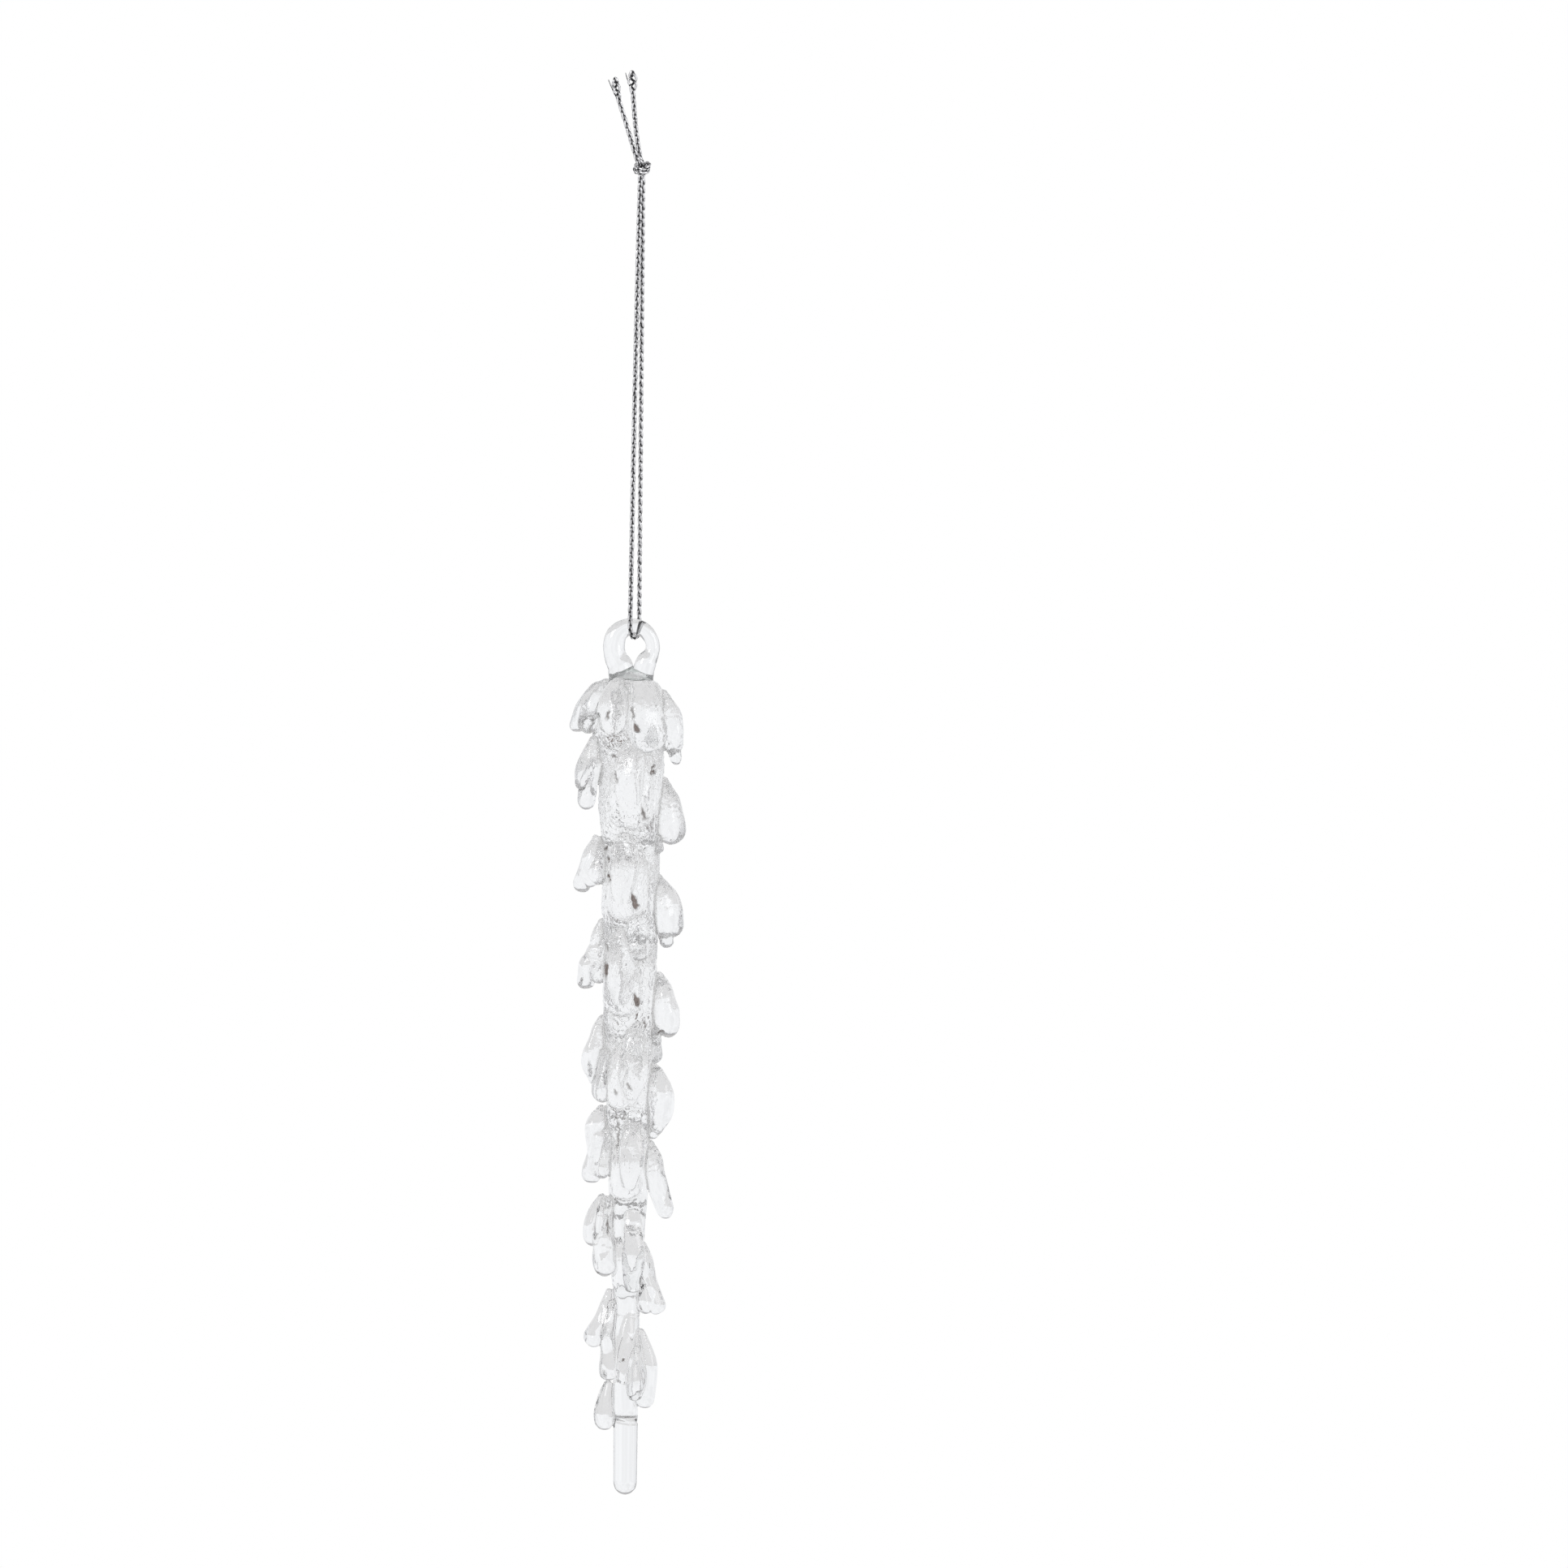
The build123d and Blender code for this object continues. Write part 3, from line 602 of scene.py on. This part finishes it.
def metallic_braid():
    """Silver metal foil with painted light and shade: near black where a strand dives under the others,
    bright silver where it swings out.
    """
    mat, nodes, links, shader = material("metallic_braid")
    where = nodes.new("ShaderNodeTexCoord")
    fleck = nodes.new("ShaderNodeTexNoise")
    fleck.inputs["Scale"].default_value = 2400
    fleck.inputs["Detail"].default_value = 2
    links.new(where.outputs["Object"], fleck.inputs["Vector"])
    # painted light and shade along each strand, speckled by the flecks, ramps the colour from near black to
    # silver
    painted_light_shade = nodes.new("ShaderNodeAttribute")
    painted_light_shade.attribute_name = "painted_light_shade"
    painted_light_fleck = nodes.new("ShaderNodeMath")
    painted_light_fleck.operation = "MULTIPLY"
    links.new(painted_light_shade.outputs["Fac"], painted_light_fleck.inputs[0])
    links.new(fleck.outputs["Fac"], painted_light_fleck.inputs[1])
    shade = nodes.new("ShaderNodeValToRGB")
    shade.color_ramp.elements[0].position = 0.20
    shade.color_ramp.elements[0].color = (0.02, 0.02, 0.022, 1)
    shade.color_ramp.elements[1].position = 0.47
    shade.color_ramp.elements[1].color = (0.85, 0.85, 0.86, 1)
    links.new(painted_light_fleck.outputs["Value"], shade.inputs["Fac"])
    links.new(shade.outputs["Color"], shader.inputs["Base Color"])
    shader.inputs["Metallic"].default_value = 0.85
    shader.inputs["Roughness"].default_value = 0.32
    bump = nodes.new("ShaderNodeBump")
    bump.inputs["Strength"].default_value = 0.5
    bump.inputs["Distance"].default_value = 0.00005
    links.new(fleck.outputs["Fac"], bump.inputs["Height"])
    links.new(bump.outputs["Normal"], shader.inputs["Normal"])
    return mat


def weld_material():
    """Cloudy grey-green glass, streaked where the pad was drawn sideways."""
    mat = glass("weld_glass", (0.9, 0.93, 0.92), 0.2, streak=2.0)
    nodes, links = mat.node_tree.nodes, mat.node_tree.links
    where = nodes.new("ShaderNodeTexCoord")
    drawn = nodes.new("ShaderNodeMapping")
    drawn.inputs["Scale"].default_value = (0.3, 0.3, 1.6)
    cloud = nodes.new("ShaderNodeTexNoise")
    cloud.inputs["Scale"].default_value = 900
    cloud.inputs["Detail"].default_value = 3
    shade = nodes.new("ShaderNodeValToRGB")
    shade.color_ramp.elements[0].position = 0.36
    shade.color_ramp.elements[0].color = (0.92, 0.97, 0.95, 1)
    shade.color_ramp.elements[1].position = 0.60
    shade.color_ramp.elements[1].color = (1.0, 1.0, 1.0, 1)
    links.new(where.outputs["Object"], drawn.inputs["Vector"])
    links.new(drawn.outputs["Vector"], cloud.inputs["Vector"])
    links.new(cloud.outputs["Fac"], shade.inputs["Fac"])
    links.new(shade.outputs["Color"], nodes["Principled BSDF"].inputs["Base Color"])
    nodes["Principled BSDF"].inputs["Transmission Weight"].default_value = 0.42
    return mat


body.data.materials.append(glass("sugared_glass", CLEAR, 0.0, grain=0.75))
eye.data.materials.append(glass("clear_glass", CLEAR, 0.0))
weld.data.materials.append(weld_material())
braid = metallic_braid()
for obj in (cord_loop, knot, *tails):
    obj.data.materials.append(braid)

# ------------------------------------------------------------------ studio
scene = bpy.context.scene
scene.view_settings.view_transform = "Standard"
scene.view_settings.look = "None"
scene.cycles.max_bounces = 32
scene.cycles.transmission_bounces = 32
scene.cycles.glossy_bounces = 8
scene.cycles.transparent_max_bounces = 16

# behind the object the camera sees plain white; glass and metal see the tent
world = bpy.data.worlds.new("studio")
scene.world = world
world.use_nodes = True
nodes, links = world.node_tree.nodes, world.node_tree.links
nodes.clear()
output = nodes.new("ShaderNodeOutputWorld")
chosen = nodes.new("ShaderNodeMixShader")
path_kind = nodes.new("ShaderNodeLightPath")
seen = nodes.new("ShaderNodeBackground")
seen.inputs["Color"].default_value = (1, 1, 1, 1)
tent_light = nodes.new("ShaderNodeBackground")
where = nodes.new("ShaderNodeTexCoord")
split = nodes.new("ShaderNodeSeparateXYZ")
links.new(where.outputs["Generated"], split.inputs["Vector"])


def world_math(operation, first, second=None):
    node = nodes.new("ShaderNodeMath")
    node.operation = operation
    links.new(first, node.inputs[0])
    if isinstance(second, (int, float)):
        node.inputs[1].default_value = second
    elif second is not None:
        links.new(second, node.inputs[1])
    return node.outputs["Value"]


def world_ramp(value, stops):
    """Light levels along a value, eased between the stops."""
    node = nodes.new("ShaderNodeValToRGB")
    node.color_ramp.interpolation = "EASE"
    node.color_ramp.elements[0].position = stops[0][0]
    node.color_ramp.elements[1].position = stops[-1][0]
    for position, _ in stops[1:-1]:
        node.color_ramp.elements.new(position)
    for element, (_, colour) in zip(node.color_ramp.elements, stops):
        element.color = (*colour, 1)
    links.new(value, node.inputs["Fac"])
    return node.outputs["Color"]


def tinted(first, second):
    node = nodes.new("ShaderNodeVectorMath")
    node.operation = "MULTIPLY"
    links.new(first, node.inputs[0])
    links.new(second, node.inputs[1])
    return node.outputs["Vector"]


# pale tent, dimmer high up and low down, with four narrow dark gaps between the softboxes
height = world_math("MULTIPLY_ADD", split.outputs["Z"], 0.5)
height.node.inputs[2].default_value = 0.5
tent = (0.945, 0.95, 0.965)
rim = (0.12, 0.11, 0.10)
level = world_ramp(height, [
    (0.0, (0.75, 0.75, 0.75)), (0.18, (0.72, 0.72, 0.73)), (0.33, tent), (0.74, tent),
    (0.79, (0.42, 0.42, 0.44)), (0.85, (0.42, 0.41, 0.41)), (0.89, (0.75, 0.74, 0.74)),
    (0.94, rim), (0.97, rim), (1.0, (0.95, 0.95, 0.95))])
turn_x = world_math("ARCTAN2", split.outputs["X"], split.outputs["Y"])
turned = world_math("MULTIPLY", world_math("ABSOLUTE", turn_x), 1 / pi)
gap = (0.36, 0.35, 0.35)
full = (1.0, 1.0, 1.0)
dim = (0.84, 0.84, 0.85)
behind = (0.88, 0.88, 0.89)
gaps = world_ramp(turned, [
    (0.0, full), (0.22, full), (0.33, dim), (0.38, gap), (0.42, gap), (0.47, full),
    (0.53, full), (0.58, gap), (0.62, gap), (0.67, behind), (1.0, behind)])
patches = nodes.new("ShaderNodeTexNoise")
patches.inputs["Scale"].default_value = 4.5
patches.inputs["Detail"].default_value = 1.0
links.new(where.outputs["Generated"], patches.inputs["Vector"])
mottle = world_ramp(patches.outputs["Fac"], [(0.32, (0.92, 0.92, 0.92)), (0.60, full)])
links.new(tinted(tinted(level, gaps), mottle), tent_light.inputs["Color"])
links.new(path_kind.outputs["Is Camera Ray"], chosen.inputs["Fac"])
links.new(tent_light.outputs["Background"], chosen.inputs[1])
links.new(seen.outputs["Background"], chosen.inputs[2])
links.new(chosen.outputs["Shader"], output.inputs["Surface"])

FLOOR_R, FLOOR_Z = 4.5, -1.3
floor_verts = [(FLOOR_R * cos(a), FLOOR_R * sin(a), FLOOR_Z) for a in np.arange(96) * 2 * pi / 96]
floor = add_mesh("floor", floor_verts, [tuple(range(96))], smooth=False)
floor_look, nodes, links, shader = material("floor")
shader.inputs["Base Color"].default_value = (0.93, 0.93, 0.93, 1)
shader.inputs["Roughness"].default_value = 0.9
shader.inputs["Emission Color"].default_value = (1, 1, 1, 1)
shader.inputs["Emission Strength"].default_value = 0.3
floor.data.materials.append(floor_look)

AIM = Vector((0, 0, -0.17))
for name, place, size, power in (("key", (-0.7, -0.8, 0.5), 0.5, 5), ("fill", (0.9, -0.6, 0.2), 0.6, 2.5)):
    data = bpy.data.lights.new(name, "AREA")
    data.energy = power
    data.size = size
    lamp = bpy.data.objects.new(name, data)
    scene.collection.objects.link(lamp)
    lamp.location = place
    lamp.visible_transmission = False
    lamp.rotation_euler = (AIM - Vector(place)).to_track_quat("-Z", "Y").to_euler()

# ------------------------------------------------------------------ how the pieces hang together
nodes_of = {body_name: list(members) for body_name, members in frame["record"]["behaviour"]["bodies"].items()}
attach(body, "icicle")
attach(eye, "icicle")
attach(weld, "icicle")
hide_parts("hanging_eye")
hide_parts("eye_weld")
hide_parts(*[n for n in nodes_of["icicle"] if n not in ("hanging_eye", "eye_weld")])

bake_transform(cord_loop)
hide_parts("cord_leg_front", "cord_leg_rear", "cord_turn")
for obj, node in ((knot, "knot"), (tails[0], "cord_tail_left"), (tails[1], "cord_tail_right")):
    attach(obj, "knot")
    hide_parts(node)
